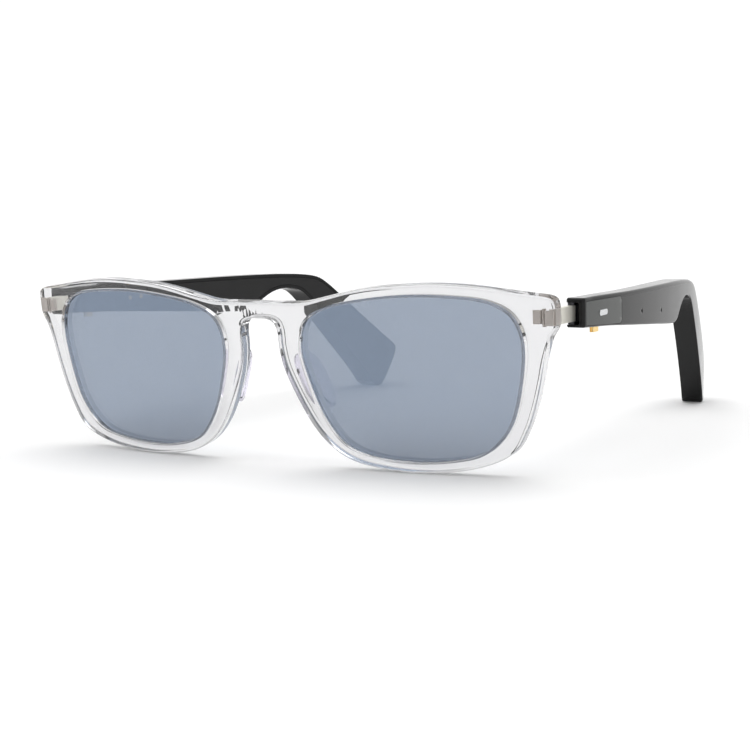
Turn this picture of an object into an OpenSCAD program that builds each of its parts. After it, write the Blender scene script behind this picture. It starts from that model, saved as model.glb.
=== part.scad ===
// Smart glasses with a clear front, mirrored lenses and two black electronic temples.
// Millimetres. +X is the wearer's left, -Y is the way the wearer looks, +Z is up.
// The glasses stand open on the rim bottoms and the two temple tips, centred on the origin.

/* [Front] */
// Width of the front from one hinge corner to the other
front_w = 142; // [139:0.5:146]
// Front to back thickness of the clear front
front_t = 4; // [3.6:0.1:4.6]
// Radius of the bow of the front, seen from above
bow_r = 355; // [330:5:400]
// Forward lean of the front, in degrees
tilt = 6.6; // [5:0.1:8]

/* [Lenses] */
// Width of one lens opening
lens_w = 53.2; // [51:0.2:54]
// Height of one lens opening
lens_h = 37; // [34:0.5:38]
// Distance between the two lens openings
bridge_gap = 21; // [20:0.2:23]
// Thickness of a lens
lens_t = 1.4; // [1:0.1:1.8]

/* [Temples] */
// Length of a temple from its front end to the tip, along Y
temple_l = 122.7; // [118:0.5:128]
// Radius of the outer face of a temple, seen from above
outer_r = 392; // [380:4:420]
// Radius of the inner face of a temple, seen from above
inner_r = 460; // [450:5:480]
// Thickness of a temple at its front end
temple_t = 4.2; // [4.2:0.1:4.6]
// Thickness of the outer wall
outer_wall = 1.2; // [1.1:0.05:1.2]
// Thickness of the edge walls and of the inner cover
wall = 0.9; // [0.8:0.05:0.95]

/* [Hinge] */
// Gap between the front and the temple that shows the metal tongue
hinge_gap = 5.4; // [5:0.1:6]
// Height of the tongue
tongue_h = 3.5; // [3.2:0.1:3.6]
// Thickness of the tongue
tongue_t = 1.4; // [1.3:0.1:1.5]
// Travel of the spring hinge
spring_travel = 1.2; // [1:0.1:1.4]

/* [Controls] */
// Length of the gold button under each temple
button_l = 2.6; // [2.4:0.1:3]
// Width of the button
button_w = 1; // [0.9:0.05:1.1]
// How far the button stands below the temple
button_drop = 1.2; // [1:0.1:1.4]
// Travel of the button
button_travel = 0.4; // [0.3:0.05:0.4]
// Length of the touch panel
panel_l = 20.6; // [18:0.2:22]
// Diameter of a microphone hole
mic_d = 0.8; // [0.6:0.1:1]

/* [Hidden] */
LEFT = 1;
RIGHT = -1;
$fn = 48;
// Facets of the very large circles that bend the front and the temples
BOW_FN = 360;

// Gap between pieces that are fitted together but don't move
FIT = 0.05;
// Radial clearance of a running fit
RUN = 0.05;

// Outline of a lens opening about its middle, outer side first, anticlockwise, as shares of
// half its width and half its height
LENS_SHAPE = [
  [0.99, 0.36], [0.925, 0.735], [0.725, 0.92], [0.405, 0.985], [0.03, 1], [-0.345, 0.955],
  [-0.685, 0.865], [-0.925, 0.69], [-0.997, 0.35], [-0.94, -0.055], [-0.815, -0.5],
  [-0.625, -0.83], [-0.345, -0.965], [-0.01, -1], [0.33, -0.968], [0.61, -0.865],
  [0.81, -0.605], [0.917, -0.245]
];
lens_mid_x = (bridge_gap + lens_w) / 2;
lens_edge = [for (p = closed_curve(LENS_SHAPE, 4))
  [lens_mid_x + p[0] * lens_w / 2, p[1] * lens_h / 2]];

// Outline of the front on the wearer's left, from the top of the bridge round the hinge corner,
// down the rim and up the nose side to the arch of the bridge
BROW = [
  [0, 17.15], [6, 17.1], [12, 17.2], [17.5, 18.3], [24, 19.7], [30, 20.6], [37, 21.05],
  [44, 21.2], [51, 20.8], [58, 19.9], [65, 18.8], [69, 18.2], [70.6, 17.4], [71, 16]
];
RIM = [
  [71, 12.4], [70.5, 10.9], [69.2, 8.8], [68, 5], [66.8, 0], [65.2, -5.5], [63.2, -10.6],
  [60.4, -15.4], [56.4, -18], [50, -19.9], [43, -20.8], [36, -21], [29, -20.4], [22.4, -19.1],
  [17, -16.2], [12.8, -11.8], [9.8, -6.8], [7.4, -1.8], [5.8, 2.4], [5.1, 6.4], [5, 10],
  [4.3, 12.2], [2.4, 13.2], [0, 13.3]
];
half_edge = [for (p = concat(curve(BROW, 3), curve(RIM, 3)))
  [p[0] * front_w / 142, p[1] * lens_h / 37]];
front_edge = concat([for (p = half_edge) [p[0], p[1]]],
  [for (i = [len(half_edge) - 2 : -1 : 1]) [-half_edge[i][0], half_edge[i][1]]]);
lens_seat = 0.5;
lens_depth = 1;

// The front leans and bows, and its lowest point stands on the floor
face_z = -min([for (p = front_edge) p[1] * cos(tilt) + bow(p[0]) * sin(tilt)]);
bridge_top_y = -BROW[0][1] * lens_h / 37 * sin(tilt);

// The hinge corner of the front sets where the hinge and the temple lie
corner_h = 14.5 * lens_h / 37;
corner_x = front_w / 2;
corner_y = bow(corner_x) * cos(tilt) - corner_h * sin(tilt) + front_t * cos(tilt);
temple_y = corner_y + hinge_gap;

// Side outline of a temple from its lower front corner round the tip to its upper front corner,
// in steps back from its front end and down from its top front corner
TEMPLE_SHAPE = [
  [0, -6.4], [13.4, -7.2], [28.4, -8.5], [44.4, -9.9], [56.4, -11], [62.4, -11.5],
  [66, -11.6], [68.9, -10.8], [72.4, -8.6], [76.4, -6.9], [80.9, -6.3], [85.9, -7.1],
  [89.4, -9.3], [94.4, -14.6], [103.9, -25.4], [111, -33.8], [113, -36.8], [114.8, -38.4],
  [116.4, -38.5], [117.8, -37.4], [120.2, -33.6], [122.3, -29.6], [122.7, -27.8],
  [122, -26.2], [118.4, -23.2], [111.9, -17.9], [103.4, -10.8], [97.9, -6.4], [93.9, -4],
  [88.9, -2.9], [81.4, -2.2], [70.4, -1.7], [56.4, -1.3], [42.4, -1], [28.4, -0.7],
  [14.4, -0.3], [0, 0]
];
stretch = temple_l / 122.7;
temple_rough = curve(TEMPLE_SHAPE, 3);
temple_top = -min([for (p = temple_rough) p[1]]);
temple_edge = [for (p = temple_rough) [temple_y + p[0] * stretch, temple_top + p[1]]];
mid_y = (bridge_top_y + temple_y + temple_l) / 2;

// Hinge: the pivot stands in the open end cap, in the middle of the tongue's height
pivot_x = corner_x - 0.9;
pivot_y = temple_y + 1.4;
pivot_z = temple_top - 3.4;
pin_r = 0.4;
ear_r = 0.95;
ear_t = 0.55;
ear_low = pivot_z - tongue_h / 2 - RUN - ear_t;
ear_high = pivot_z + tongue_h / 2 + RUN;
stack_h = 2 * ear_t + 2 * RUN + tongue_h;
cap_l = 5.8;
cap_wall = 1.3;
cap_back = temple_y + cap_l;
recess_h = stack_h + 2 * RUN;
// The anchor in the clear corner has a low inner step and a high outer one
anchor_t = 1.9;
anchor_y = corner_y - 3.2;
ANCHOR_STEPS = [[-5.2, -1.4, 2.4, 3], [-3.2, -2.2, 2.6, 4.2]];
rod_x = pivot_x + 0.5;
rod_r = 0.4;
spring_outer_r = 0.8;
spring_wire_r = 0.15;
housing_l = 10.6;
housing_front = cap_back + FIT;
housing_back = housing_front + housing_l;
spring_seat = housing_front + 0.9;
nut_l = 1.1;
nut_back = housing_back - 0.6;
block_back = cap_back - cap_wall - 0.1;
inner_open = housing_back + FIT;

// The two upright cylinders that bend a temple, how far round them its front end lies, and where
// its faces are at a distance along Y
face_x = pivot_x + 3.5;
outer_turn = 0.48;
inner_turn = 2.63;
outer_cx = face_x - outer_r * cos(outer_turn);
outer_cy = temple_y - outer_r * sin(outer_turn);
inner_cx = face_x - temple_t - inner_r * cos(inner_turn);
inner_cy = temple_y - inner_r * sin(inner_turn);
function outer_x(y) = outer_cx + sqrt(outer_r * outer_r - (y - outer_cy) * (y - outer_cy));
function inner_x(y) = inner_cx + sqrt(inner_r * inner_r - (y - inner_cy) * (y - inner_cy));
function mid_x(y) = (outer_x(y) + inner_x(y)) / 2;
function turn(y) = asin((y - inner_cy) / inner_r);
function back(d) = temple_y + d * stretch;

// Controls and what is inside a temple, as steps back from its front end
button_y = back(8);
button_x = outer_x(button_y + button_l) - outer_wall - 0.15 - button_w / 2;
button_low = temple_top - 6.95 - button_drop;
button_top = temple_top - 5.9;
button_slot = 0.1;
button_fork = [0.5, 0.35];
flange_t = 0.35;
flange_lip = 0.3;
switch_t = 0.5;
switch_w = 0.9;
switch_short = 1.2;
housing_low = button_top + flange_t + button_travel + switch_t + 2 * FIT;
panel_t = 0.45;
panel_y = back(0.9);
// How far the panel's lower and upper edges lie under the temple's top, in front and behind
PANEL_LOW = [6, 7.4];
PANEL_HIGH = [0.8, 1.25];
mark_y = back(10.2);
mark_z = temple_top - 3.9;
mark_l = 4.4;
mark_h = 1.3;
sensor_y = [back(6.6), back(13.4)];
sensor_z = [temple_top - 5.2, temple_top - 1.7];
sensor_t = 0.12;
charge_y = back(24.5);
charge_z = temple_top - 4.3;
charge_pad = [11, 4.4];
charge_deep = 0.3;
contact_r = 0.6;
contact_gap = 4;
magnet_r = 1.4;
magnet_gap = 8.4;
MIC_PLACES = [[35.2, -5.9], [51.2, -7.2]];
mic_can = [0.9, 2.4, 1.9];
speaker_y = back(63.4);
speaker_z = temple_top - 7.3;
speaker_box = [2.3, 8, 4.6];
mesh_z = temple_top - 10.9;
mesh_t = 0.3;
board = [0.6, 16, 5];
board_y = back(37.9);
board_z = temple_top - 4.6;
CHIPS = [[-4.6, 0.4, 4.6, 3.4], [1.2, 0.8, 3.6, 2.6], [5.6, -0.6, 2.2, 2.2]];
chip_t = 0.8;
battery_box = [2.7, 17, 5.8];
speaker_slot = [5, 1.4];
battery_y = back(104.3);
battery_z = temple_top - 18.4;
battery_slope = -48;

// Sag of the front behind its middle, at a distance from the middle
function bow(x) = bow_r - sqrt(bow_r * bow_r - x * x);
// One point of a smooth curve between b and c
function spline(a, b, c, d, t) = 0.5 * (2 * b + (c - a) * t
  + (2 * a - 5 * b + 4 * c - d) * t * t + (3 * b - a - 3 * c + d) * t * t * t);
// Smooth curve through a list of points, with n steps between two of them
function curve(p, n) = concat([for (i = [0 : len(p) - 2]) for (k = [0 : n - 1])
  spline(p[max(i - 1, 0)], p[i], p[i + 1], p[min(i + 2, len(p) - 1)], k / n)], [p[len(p) - 1]]);
// The same, closed on itself
function closed_curve(p, n) = let (m = len(p)) [for (i = [0 : m - 1]) for (k = [0 : n - 1])
  spline(p[(i + m - 1) % m], p[i], p[(i + 1) % m], p[(i + 2) % m], k / n)];
// Anticlockwise outline moved outwards by d
function grown(p, d) = let (m = len(p)) [for (i = [0 : m - 1])
  let (along = p[(i + 1) % m] - p[(i + m - 1) % m]) p[i] + d * [along[1], -along[0]] / norm(along)];

// Everything is drawn in the frame whose Y starts at the bridge, then centred on the origin
module placed() {
  translate([0, -mid_y, 0]) children();
}

module on_side(side) {
  if (side == LEFT) children();
  else mirror([1, 0, 0]) children();
}

// Upright frame of the front, with its origin on the front surface between the lenses
module on_face() {
  placed() translate([0, 0, face_z]) rotate([tilt, 0, 0]) children();
}

// Bowed sheet of the front between two depths behind its front surface
module bowed_sheet(near, far) {
  translate([0, bow_r, -40]) difference() {
    cylinder(r = bow_r - near, h = 80, $fn = BOW_FN);
    translate([0, 0, -1]) cylinder(r = bow_r - far, h = 82, $fn = BOW_FN);
  }
}

// Outline in X and Z, cut right through from front to back
module through(points) {
  translate([0, 40, 0]) rotate([90, 0, 0]) linear_extrude(50) polygon(points);
}

// Piece of a temple between its outer face less near and its inner face plus far
module temple_sheet(points, near, far) {
  intersection() {
    rotate([90, 0, 90]) linear_extrude(90) polygon(points);
    translate([outer_cx, outer_cy, -1]) cylinder(r = outer_r - near, h = 60, $fn = BOW_FN);
    difference() {
      cube([90, 200, 60]);
      translate([inner_cx, inner_cy, -1]) cylinder(r = inner_r + far, h = 62, $fn = BOW_FN);
    }
  }
}

// Thin sheet that follows the outer face, between two depths below it
module outer_sheet(points, near, far) {
  intersection() {
    rotate([90, 0, 90]) linear_extrude(90) polygon(points);
    translate([outer_cx, outer_cy, -1]) difference() {
      cylinder(r = outer_r - near, h = 60, $fn = BOW_FN);
      translate([0, 0, -1]) cylinder(r = outer_r - far, h = 62, $fn = BOW_FN);
    }
  }
}

// Thin sheet that follows the inner face, between two heights above it
module inner_sheet(points, near, far) {
  intersection() {
    rotate([90, 0, 90]) linear_extrude(90) polygon(points);
    translate([inner_cx, inner_cy, -1]) difference() {
      cylinder(r = inner_r + far, h = 60, $fn = BOW_FN);
      translate([0, 0, -1]) cylinder(r = inner_r + near, h = 62, $fn = BOW_FN);
    }
  }
}

// Frame in the middle of a temple's thickness, turned along the temple
module inside(y, z) {
  translate([mid_x(y), y, z]) rotate([0, 0, turn(y)]) children();
}

// Frame on the inner face of a temple, with +X pointing into it
module on_inner(y, z) {
  translate([inner_x(y), y, z]) rotate([0, 0, turn(y)]) children();
}

// Frame on the outer face of a temple, with -X pointing into it
module on_outer(y, z) {
  translate([outer_x(y), y, z]) rotate([0, 0, asin((y - outer_cy) / outer_r)]) children();
}

// Flat-bottomed rounded slot in X and Y about its middle
module pill(length, width, height) {
  linear_extrude(height) {
    square([width, length - width], center = true);
    for (end = [-1, 1]) translate([0, end * (length - width) / 2]) circle(d = width);
  }
}

// ---- Front ----

// Anchor and tongue, grown all round to make their pocket in the front
module hinge_plate_solid(grow) {
  for (s = ANCHOR_STEPS) translate([corner_x + s[0] - grow, anchor_y - grow, pivot_z + s[1] - grow])
    cube([s[2] + 2 * grow, anchor_t + 2 * grow, s[3] + 2 * grow]);
  translate([pivot_x - tongue_t / 2 - grow, anchor_y + 0.4 - grow, pivot_z - tongue_h / 2 - grow])
    cube([tongue_t + 2 * grow, pivot_y - anchor_y - 0.4 + grow, tongue_h + 2 * grow]);
}

module hinge_plate(side) {
  color("silver") placed() on_side(side) difference() {
    union() {
      hinge_plate_solid(0);
      translate([pivot_x, pivot_y, pivot_z - tongue_h / 2]) cylinder(r = tongue_t / 2, h = tongue_h);
    }
    translate([pivot_x, pivot_y, pivot_z - tongue_h]) cylinder(r = pin_r + RUN, h = 2 * tongue_h);
  }
}

module frame_front() {
  color([0.86, 0.88, 0.92, 0.45]) difference() {
    on_face() intersection() {
      through(front_edge);
      bowed_sheet(0, front_t);
    }
    on_face() for (side = [LEFT, RIGHT]) on_side(side) {
      through(lens_edge);
      intersection() {
        through(grown(lens_edge, lens_seat + FIT));
        bowed_sheet(lens_depth - FIT, lens_depth + lens_t + FIT);
      }
    }
    placed() for (side = [LEFT, RIGHT]) on_side(side) hinge_plate_solid(0.02);
  }
}

module lens(side) {
  color([0.62, 0.68, 0.76, 0.7]) on_face() on_side(side) intersection() {
    through(grown(lens_edge, lens_seat));
    bowed_sheet(lens_depth, lens_depth + lens_t);
  }
}

// A soft clear pad behind the nose side of the rim
module nose_pad(side) {
  r = 1.3;
  PAD = [[7.4, 0, 4], [9.2, 2.7, 2.6], [11, 0, -7], [13.2, 3.1, -7.4]];
  color([0.88, 0.9, 0.93, 0.5]) on_face() on_side(side) hull()
    for (p = PAD) translate([p[0], bow(p[0]) + front_t + FIT + r + p[1], p[2]])
      sphere(r = r, $fn = 24);
}

// ---- Hinge ----

module hinge_carrier(side) {
  color("dimgray") placed() on_side(side) difference() {
    union() {
      for (z = [ear_low, ear_high]) translate([pivot_x, pivot_y, z]) {
        cylinder(r = ear_r, h = ear_t);
        translate([-ear_r, 0, 0]) cube([2 * ear_r, block_back - pivot_y, ear_t]);
      }
      translate([pivot_x - ear_r, pivot_y + 1.1, ear_low])
        cube([2 * ear_r, block_back - pivot_y - 1.1, stack_h]);
      translate([rod_x, block_back - 0.3, pivot_z]) rotate([-90, 0, 0])
        cylinder(r = rod_r, h = nut_back - block_back + 0.3);
    }
    translate([pivot_x, pivot_y, ear_low - 1]) cylinder(r = pin_r + 0.01, h = stack_h + 2);
  }
}

module pivot_pin(side) {
  color("silver") placed() on_side(side) translate([pivot_x, pivot_y, ear_low + 0.02])
    cylinder(r = pin_r, h = stack_h - 0.04);
}

module spring_nut(side) {
  color("silver") placed() on_side(side) translate([rod_x, nut_back - nut_l, pivot_z])
    rotate([-90, 0, 0]) difference() {
      cylinder(r = spring_outer_r, h = nut_l);
      translate([0, 0, -1]) cylinder(r = rod_r + 0.01, h = nut_l + 2);
    }
}

// Helix swept as one closed tube, at the length it has when the hinge is fully sprung
module hinge_spring(side) {
  coil_r = spring_outer_r - spring_wire_r;
  start = spring_seat + spring_travel + spring_wire_r + FIT;
  finish = nut_back - nut_l - spring_wire_r - FIT;
  turns = 7;
  rings = turns * 10;
  points = [for (i = [0 : rings]) let (a = i * 36) for (k = [0 : 5]) let (b = k * 60)
    [(coil_r + spring_wire_r * cos(b)) * cos(a), start + (finish - start) * i / rings
      + spring_wire_r * sin(b), (coil_r + spring_wire_r * cos(b)) * sin(a)]];
  faces = concat([[for (k = [5 : -1 : 0]) k]], [[for (k = [0 : 5]) rings * 6 + k]],
    [for (i = [0 : rings - 1]) for (k = [0 : 5]) let (n = (k + 1) % 6)
      each [[i * 6 + k, (i + 1) * 6 + n, i * 6 + n], [i * 6 + k, (i + 1) * 6 + k, (i + 1) * 6 + n]]]);
  color("gray") placed() on_side(side) translate([rod_x, 0, pivot_z]) polyhedron(points, faces);
}

module rod_hole() {
  translate([rod_x, cap_back - 3, pivot_z]) rotate([-90, 0, 0]) cylinder(r = rod_r + RUN, h = 6);
}

// Block that guides the sprung rod, on a plate that closes the front of the tray
module spring_housing(side) {
  middle = housing_front + housing_l / 2;
  high = temple_top - wall - 0.4;
  block_x = inner_x(housing_front) + 0.05;
  color("dimgray") placed() on_side(side) difference() {
    union() {
      translate([block_x, housing_front, housing_low])
        cube([pivot_x + 1.7 - block_x, housing_l, high - housing_low]);
      intersection() {
        on_inner(middle, 0) translate([0.02, -housing_l, 0]) cube([0.75, 2 * housing_l, 60]);
        rotate([90, 0, 90]) linear_extrude(90) polygon(grown(temple_edge, -wall - FIT));
        translate([0, housing_front, 0]) cube([90, housing_l, 60]);
      }
    }
    rod_hole();
    translate([rod_x, spring_seat, pivot_z]) rotate([-90, 0, 0])
      cylinder(r = spring_outer_r + RUN, h = housing_l);
  }
}

// ---- Temples ----

// Front end of a temple, open to the front and to the inner side around the pivot
module end_cap(side) {
  color([0.05, 0.05, 0.06]) placed() on_side(side) difference() {
    intersection() {
      temple_sheet(temple_edge, 0, 0);
      translate([0, temple_y - 1, 0]) cube([90, cap_l + 1, 60]);
    }
    translate([pivot_x - 20, temple_y - 2, pivot_z - recess_h / 2])
      cube([20 + face_x - cap_wall - pivot_x, cap_l - cap_wall + 2, recess_h]);
    rod_hole();
    // The touch panel reaches forward over the cap
    outer_sheet(panel_edge(FIT), -1, panel_t + 0.03);
  }
}

// Side outline of the touch panel, square in front and rounded behind
function panel_z(y, share, grow) = let (
  t = (y - panel_y) / panel_l,
  low = temple_top - PANEL_LOW[0] - (PANEL_LOW[1] - PANEL_LOW[0]) * t - grow,
  high = temple_top - PANEL_HIGH[0] - (PANEL_HIGH[1] - PANEL_HIGH[0]) * t + grow
) low + share * (high - low);
function panel_edge(grow) = let (
  r = 1.3 + grow,
  span = (PANEL_LOW[1] - PANEL_HIGH[1]) + 2 * grow,
  start = panel_y - grow,
  end = panel_y + panel_l + grow,
  corner = [for (a = [-90 : 15 : 0]) [end - r + r * cos(a), (r + r * sin(a)) / span]]
) concat([[start, panel_z(start, 0, grow)]],
  [for (c = corner) [c[0], panel_z(c[0], c[1], grow)]],
  [for (i = [len(corner) - 1 : -1 : 0]) [corner[i][0], panel_z(corner[i][0], 1 - corner[i][1], grow)]],
  [[start, panel_z(start, 1, grow)]]);

module temple_shell(side) {
  color([0.05, 0.05, 0.06]) placed() on_side(side) difference() {
    intersection() {
      temple_sheet(temple_edge, 0, 0);
      translate([0, cap_back, 0]) cube([90, 200, 60]);
    }
    // Tray that holds the electronics, open to the inner side
    intersection() {
      temple_sheet(grown(temple_edge, -wall), outer_wall, -1);
      translate([0, cap_back - 1, 0]) cube([90, 200, 60]);
    }
    // Recess of the touch panel
    outer_sheet(panel_edge(FIT), -1, panel_t + 0.03);
    for (p = MIC_PLACES) on_outer(back(p[0]), temple_top + p[1]) rotate([0, 90, 0])
      cylinder(d = mic_d, h = 6, center = true);
    // Slot of the button
    translate([button_x - button_w / 2 - button_slot, button_y - button_slot, button_low - 2])
      cube([button_w + 2 * button_slot, button_l + 2 * button_slot, 5]);
    // Speaker outlet in the lower edge
    inside(speaker_y, temple_top - 12) pill(speaker_slot[0], speaker_slot[1], 4);
  }
}

// Inner cover that closes the tray, with a flat pad for a magnetic charging lead
module temple_cover(side) {
  color([0.1, 0.1, 0.11]) placed() on_side(side) difference() {
    intersection() {
      inner_sheet(grown(temple_edge, -wall - FIT), 0, wall);
      translate([0, inner_open, 0]) cube([90, 200, 60]);
    }
    on_inner(charge_y, charge_z) {
      translate([charge_deep - 2, -charge_pad[0] / 2, -charge_pad[1] / 2])
        cube([2, charge_pad[0], charge_pad[1]]);
      for (end = [-1, 1]) translate([-1, end * contact_gap / 2, 0]) rotate([0, 90, 0])
        cylinder(r = contact_r + FIT, h = 4);
    }
  }
}

module touch_panel(side) {
  color([0.16, 0.17, 0.17]) placed() on_side(side) outer_sheet(panel_edge(0), 0, panel_t);
}

// Plain raised bar that the fingertip finds
module touch_mark(side) {
  color("silver") placed() on_side(side) on_outer(mark_y, mark_z) translate([0.03, 0, 0])
    rotate([0, 90, 0]) pill(mark_l, mark_h, 0.15);
}

// Thin film on the wall under the touch panel
module touch_sensor(side) {
  film = [[sensor_y[0], sensor_z[0]], [sensor_y[1], sensor_z[0]],
    [sensor_y[1], sensor_z[1]], [sensor_y[0], sensor_z[1]]];
  color([0.75, 0.5, 0.15]) placed() on_side(side)
    outer_sheet(film, outer_wall + FIT, outer_wall + FIT + sensor_t);
}

// ---- Electronics ----

// Board with its chips on the inner side
module main_board(side) {
  color([0.05, 0.3, 0.15]) placed() on_side(side) inside(board_y, board_z)
    translate([-0.1, 0, 0]) {
      cube(board, center = true);
      for (c = CHIPS) translate([-board[0], c[0], c[1]]) cube([chip_t, c[2], c[3]], center = true);
    }
}

// Slim cell in the thick part behind the ear
module battery(side) {
  color([0.3, 0.32, 0.36]) placed() on_side(side) inside(battery_y, battery_z)
    translate([-0.15, 0, 0]) rotate([battery_slope, 0, 0]) cube(battery_box, center = true);
}

// Thin lead from the board, over the ear bend, to the cell
module flex_cable(side) {
  PATH = [[46.4, -3.3], [60, -3.2], [75, -3.4], [84, -4.1], [90.5, -6.6], [96.4, -11.6]];
  strip_h = 0.8;
  route = [for (p = PATH) [back(p[0]), temple_top + p[1]]];
  band = concat([for (p = route) p - [0, strip_h / 2]],
    [for (i = [len(route) - 1 : -1 : 0]) route[i] + [0, strip_h / 2]]);
  color([0.8, 0.45, 0.1]) placed() on_side(side) inner_sheet(band, wall + 0.1, wall + 0.25);
}

module speaker(side) {
  color([0.35, 0.35, 0.37]) placed() on_side(side) inside(speaker_y, speaker_z)
    translate([0.15, 0, 0]) cube(speaker_box, center = true);
}

module speaker_mesh(side) {
  color([0.2, 0.2, 0.2]) placed() on_side(side) inside(speaker_y, mesh_z)
    pill(speaker_slot[0] - 2 * FIT, speaker_slot[1] - 2 * FIT, mesh_t);
}

module microphones(side) {
  color([0.75, 0.7, 0.55]) placed() on_side(side) for (p = MIC_PLACES)
    on_outer(back(p[0]), temple_top + p[1]) translate([-outer_wall - 0.1 - mic_can[0] / 2, 0, 0.2])
      cube(mic_can, center = true);
}

module button_switch(side) {
  color([0.2, 0.2, 0.22]) placed() on_side(side)
    translate([button_x - switch_w / 2, button_y + switch_short / 2, housing_low - FIT - switch_t])
      cube([switch_w, button_l - switch_short, switch_t]);
}

// Gold key that stands below the temple, with an upright notch in its front end
module control_button(side) {
  color([0.83, 0.66, 0.35]) placed() on_side(side) difference() {
    translate([button_x - button_w / 2, button_y, 0]) {
      translate([0, 0, button_low]) cube([button_w, button_l, button_top - button_low + 0.1]);
      translate([0, -flange_lip, button_top])
        cube([button_w, button_l + 2 * flange_lip, flange_t]);
    }
    translate([button_x - button_fork[0] / 2, button_y - 1, button_low - 1])
      cube([button_fork[0], 1 + button_fork[1], button_drop + 1]);
  }
}

module charge_contacts(side) {
  color([0.85, 0.68, 0.35]) placed() on_side(side) on_inner(charge_y, charge_z)
    for (end = [-1, 1]) translate([charge_deep, end * contact_gap / 2, 0]) rotate([0, 90, 0])
      cylinder(r = contact_r, h = wall - charge_deep + 0.2);
}

module charge_magnets(side) {
  color([0.6, 0.6, 0.62]) placed() on_side(side) on_inner(charge_y, charge_z)
    for (end = [-1, 1]) translate([wall + 0.1, end * magnet_gap / 2, 0]) rotate([0, 90, 0])
      cylinder(r = magnet_r, h = 1);
}

module lens_left() { lens(LEFT); }
module lens_right() { lens(RIGHT); }
module nose_pad_left() { nose_pad(LEFT); }
module nose_pad_right() { nose_pad(RIGHT); }
module hinge_plate_left() { hinge_plate(LEFT); }
module hinge_plate_right() { hinge_plate(RIGHT); }
module hinge_carrier_left() { hinge_carrier(LEFT); }
module hinge_carrier_right() { hinge_carrier(RIGHT); }
module pivot_pin_left() { pivot_pin(LEFT); }
module pivot_pin_right() { pivot_pin(RIGHT); }
module spring_nut_left() { spring_nut(LEFT); }
module spring_nut_right() { spring_nut(RIGHT); }
module hinge_spring_left() { hinge_spring(LEFT); }
module hinge_spring_right() { hinge_spring(RIGHT); }
module end_cap_left() { end_cap(LEFT); }
module end_cap_right() { end_cap(RIGHT); }
module spring_housing_left() { spring_housing(LEFT); }
module spring_housing_right() { spring_housing(RIGHT); }
module temple_shell_left() { temple_shell(LEFT); }
module temple_shell_right() { temple_shell(RIGHT); }
module temple_cover_left() { temple_cover(LEFT); }
module temple_cover_right() { temple_cover(RIGHT); }
module touch_panel_left() { touch_panel(LEFT); }
module touch_panel_right() { touch_panel(RIGHT); }
module touch_mark_left() { touch_mark(LEFT); }
module touch_mark_right() { touch_mark(RIGHT); }
module touch_sensor_left() { touch_sensor(LEFT); }
module touch_sensor_right() { touch_sensor(RIGHT); }
module main_board_left() { main_board(LEFT); }
module main_board_right() { main_board(RIGHT); }
module battery_left() { battery(LEFT); }
module battery_right() { battery(RIGHT); }
module flex_cable_left() { flex_cable(LEFT); }
module flex_cable_right() { flex_cable(RIGHT); }
module speaker_left() { speaker(LEFT); }
module speaker_right() { speaker(RIGHT); }
module speaker_mesh_left() { speaker_mesh(LEFT); }
module speaker_mesh_right() { speaker_mesh(RIGHT); }
module microphones_left() { microphones(LEFT); }
module microphones_right() { microphones(RIGHT); }
module button_switch_left() { button_switch(LEFT); }
module button_switch_right() { button_switch(RIGHT); }
module charge_contacts_left() { charge_contacts(LEFT); }
module charge_contacts_right() { charge_contacts(RIGHT); }
module charge_magnets_left() { charge_magnets(LEFT); }
module charge_magnets_right() { charge_magnets(RIGHT); }
module control_button_left() { control_button(LEFT); }
module control_button_right() { control_button(RIGHT); }

frame_front();
lens_left();
lens_right();
nose_pad_left();
nose_pad_right();
hinge_plate_left();
hinge_plate_right();
hinge_carrier_left();
hinge_carrier_right();
pivot_pin_left();
pivot_pin_right();
spring_nut_left();
spring_nut_right();
hinge_spring_left();
hinge_spring_right();
end_cap_left();
end_cap_right();
spring_housing_left();
spring_housing_right();
temple_shell_left();
temple_shell_right();
temple_cover_left();
temple_cover_right();
touch_panel_left();
touch_panel_right();
touch_mark_left();
touch_mark_right();
touch_sensor_left();
touch_sensor_right();
main_board_left();
main_board_right();
battery_left();
battery_right();
flex_cable_left();
flex_cable_right();
speaker_left();
speaker_right();
speaker_mesh_left();
speaker_mesh_right();
microphones_left();
microphones_right();
button_switch_left();
button_switch_right();
charge_contacts_left();
charge_contacts_right();
charge_magnets_left();
charge_magnets_right();
control_button_left();
control_button_right();
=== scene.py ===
import math

import bmesh
import bpy
import numpy as np
from mathutils import Matrix, Vector
from mathutils.geometry import delaunay_2d_cdt


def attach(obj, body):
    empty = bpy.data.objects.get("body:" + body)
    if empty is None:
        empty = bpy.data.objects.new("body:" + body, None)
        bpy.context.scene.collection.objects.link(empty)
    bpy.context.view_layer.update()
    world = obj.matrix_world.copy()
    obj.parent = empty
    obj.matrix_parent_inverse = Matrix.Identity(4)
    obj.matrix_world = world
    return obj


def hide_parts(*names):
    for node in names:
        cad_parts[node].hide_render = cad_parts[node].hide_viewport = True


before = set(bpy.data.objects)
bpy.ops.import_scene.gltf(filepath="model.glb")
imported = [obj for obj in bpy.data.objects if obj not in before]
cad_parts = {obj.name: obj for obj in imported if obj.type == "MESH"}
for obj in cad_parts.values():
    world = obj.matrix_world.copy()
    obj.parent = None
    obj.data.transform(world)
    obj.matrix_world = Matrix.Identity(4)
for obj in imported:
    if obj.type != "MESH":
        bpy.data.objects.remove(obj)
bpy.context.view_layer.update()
MM = 0.001
LEFT, RIGHT = 1, -1
SIDES = {"left": LEFT, "right": RIGHT}

# ---- Driving sizes, in millimetres, as in the part ----
# A name that ends in BACK is measured from the front end of the temple, DROP down from its top

# Front: outline, thickness, bow and lean, rounding of its outer edge and of the lens openings
FRONT_W, FRONT_T, BOW_R, TILT = 142.0, 4.0, 355.0, math.radians(6.6)
FRONT_ROUND, OPENING_ROUND = 0.75, 0.3
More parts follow.
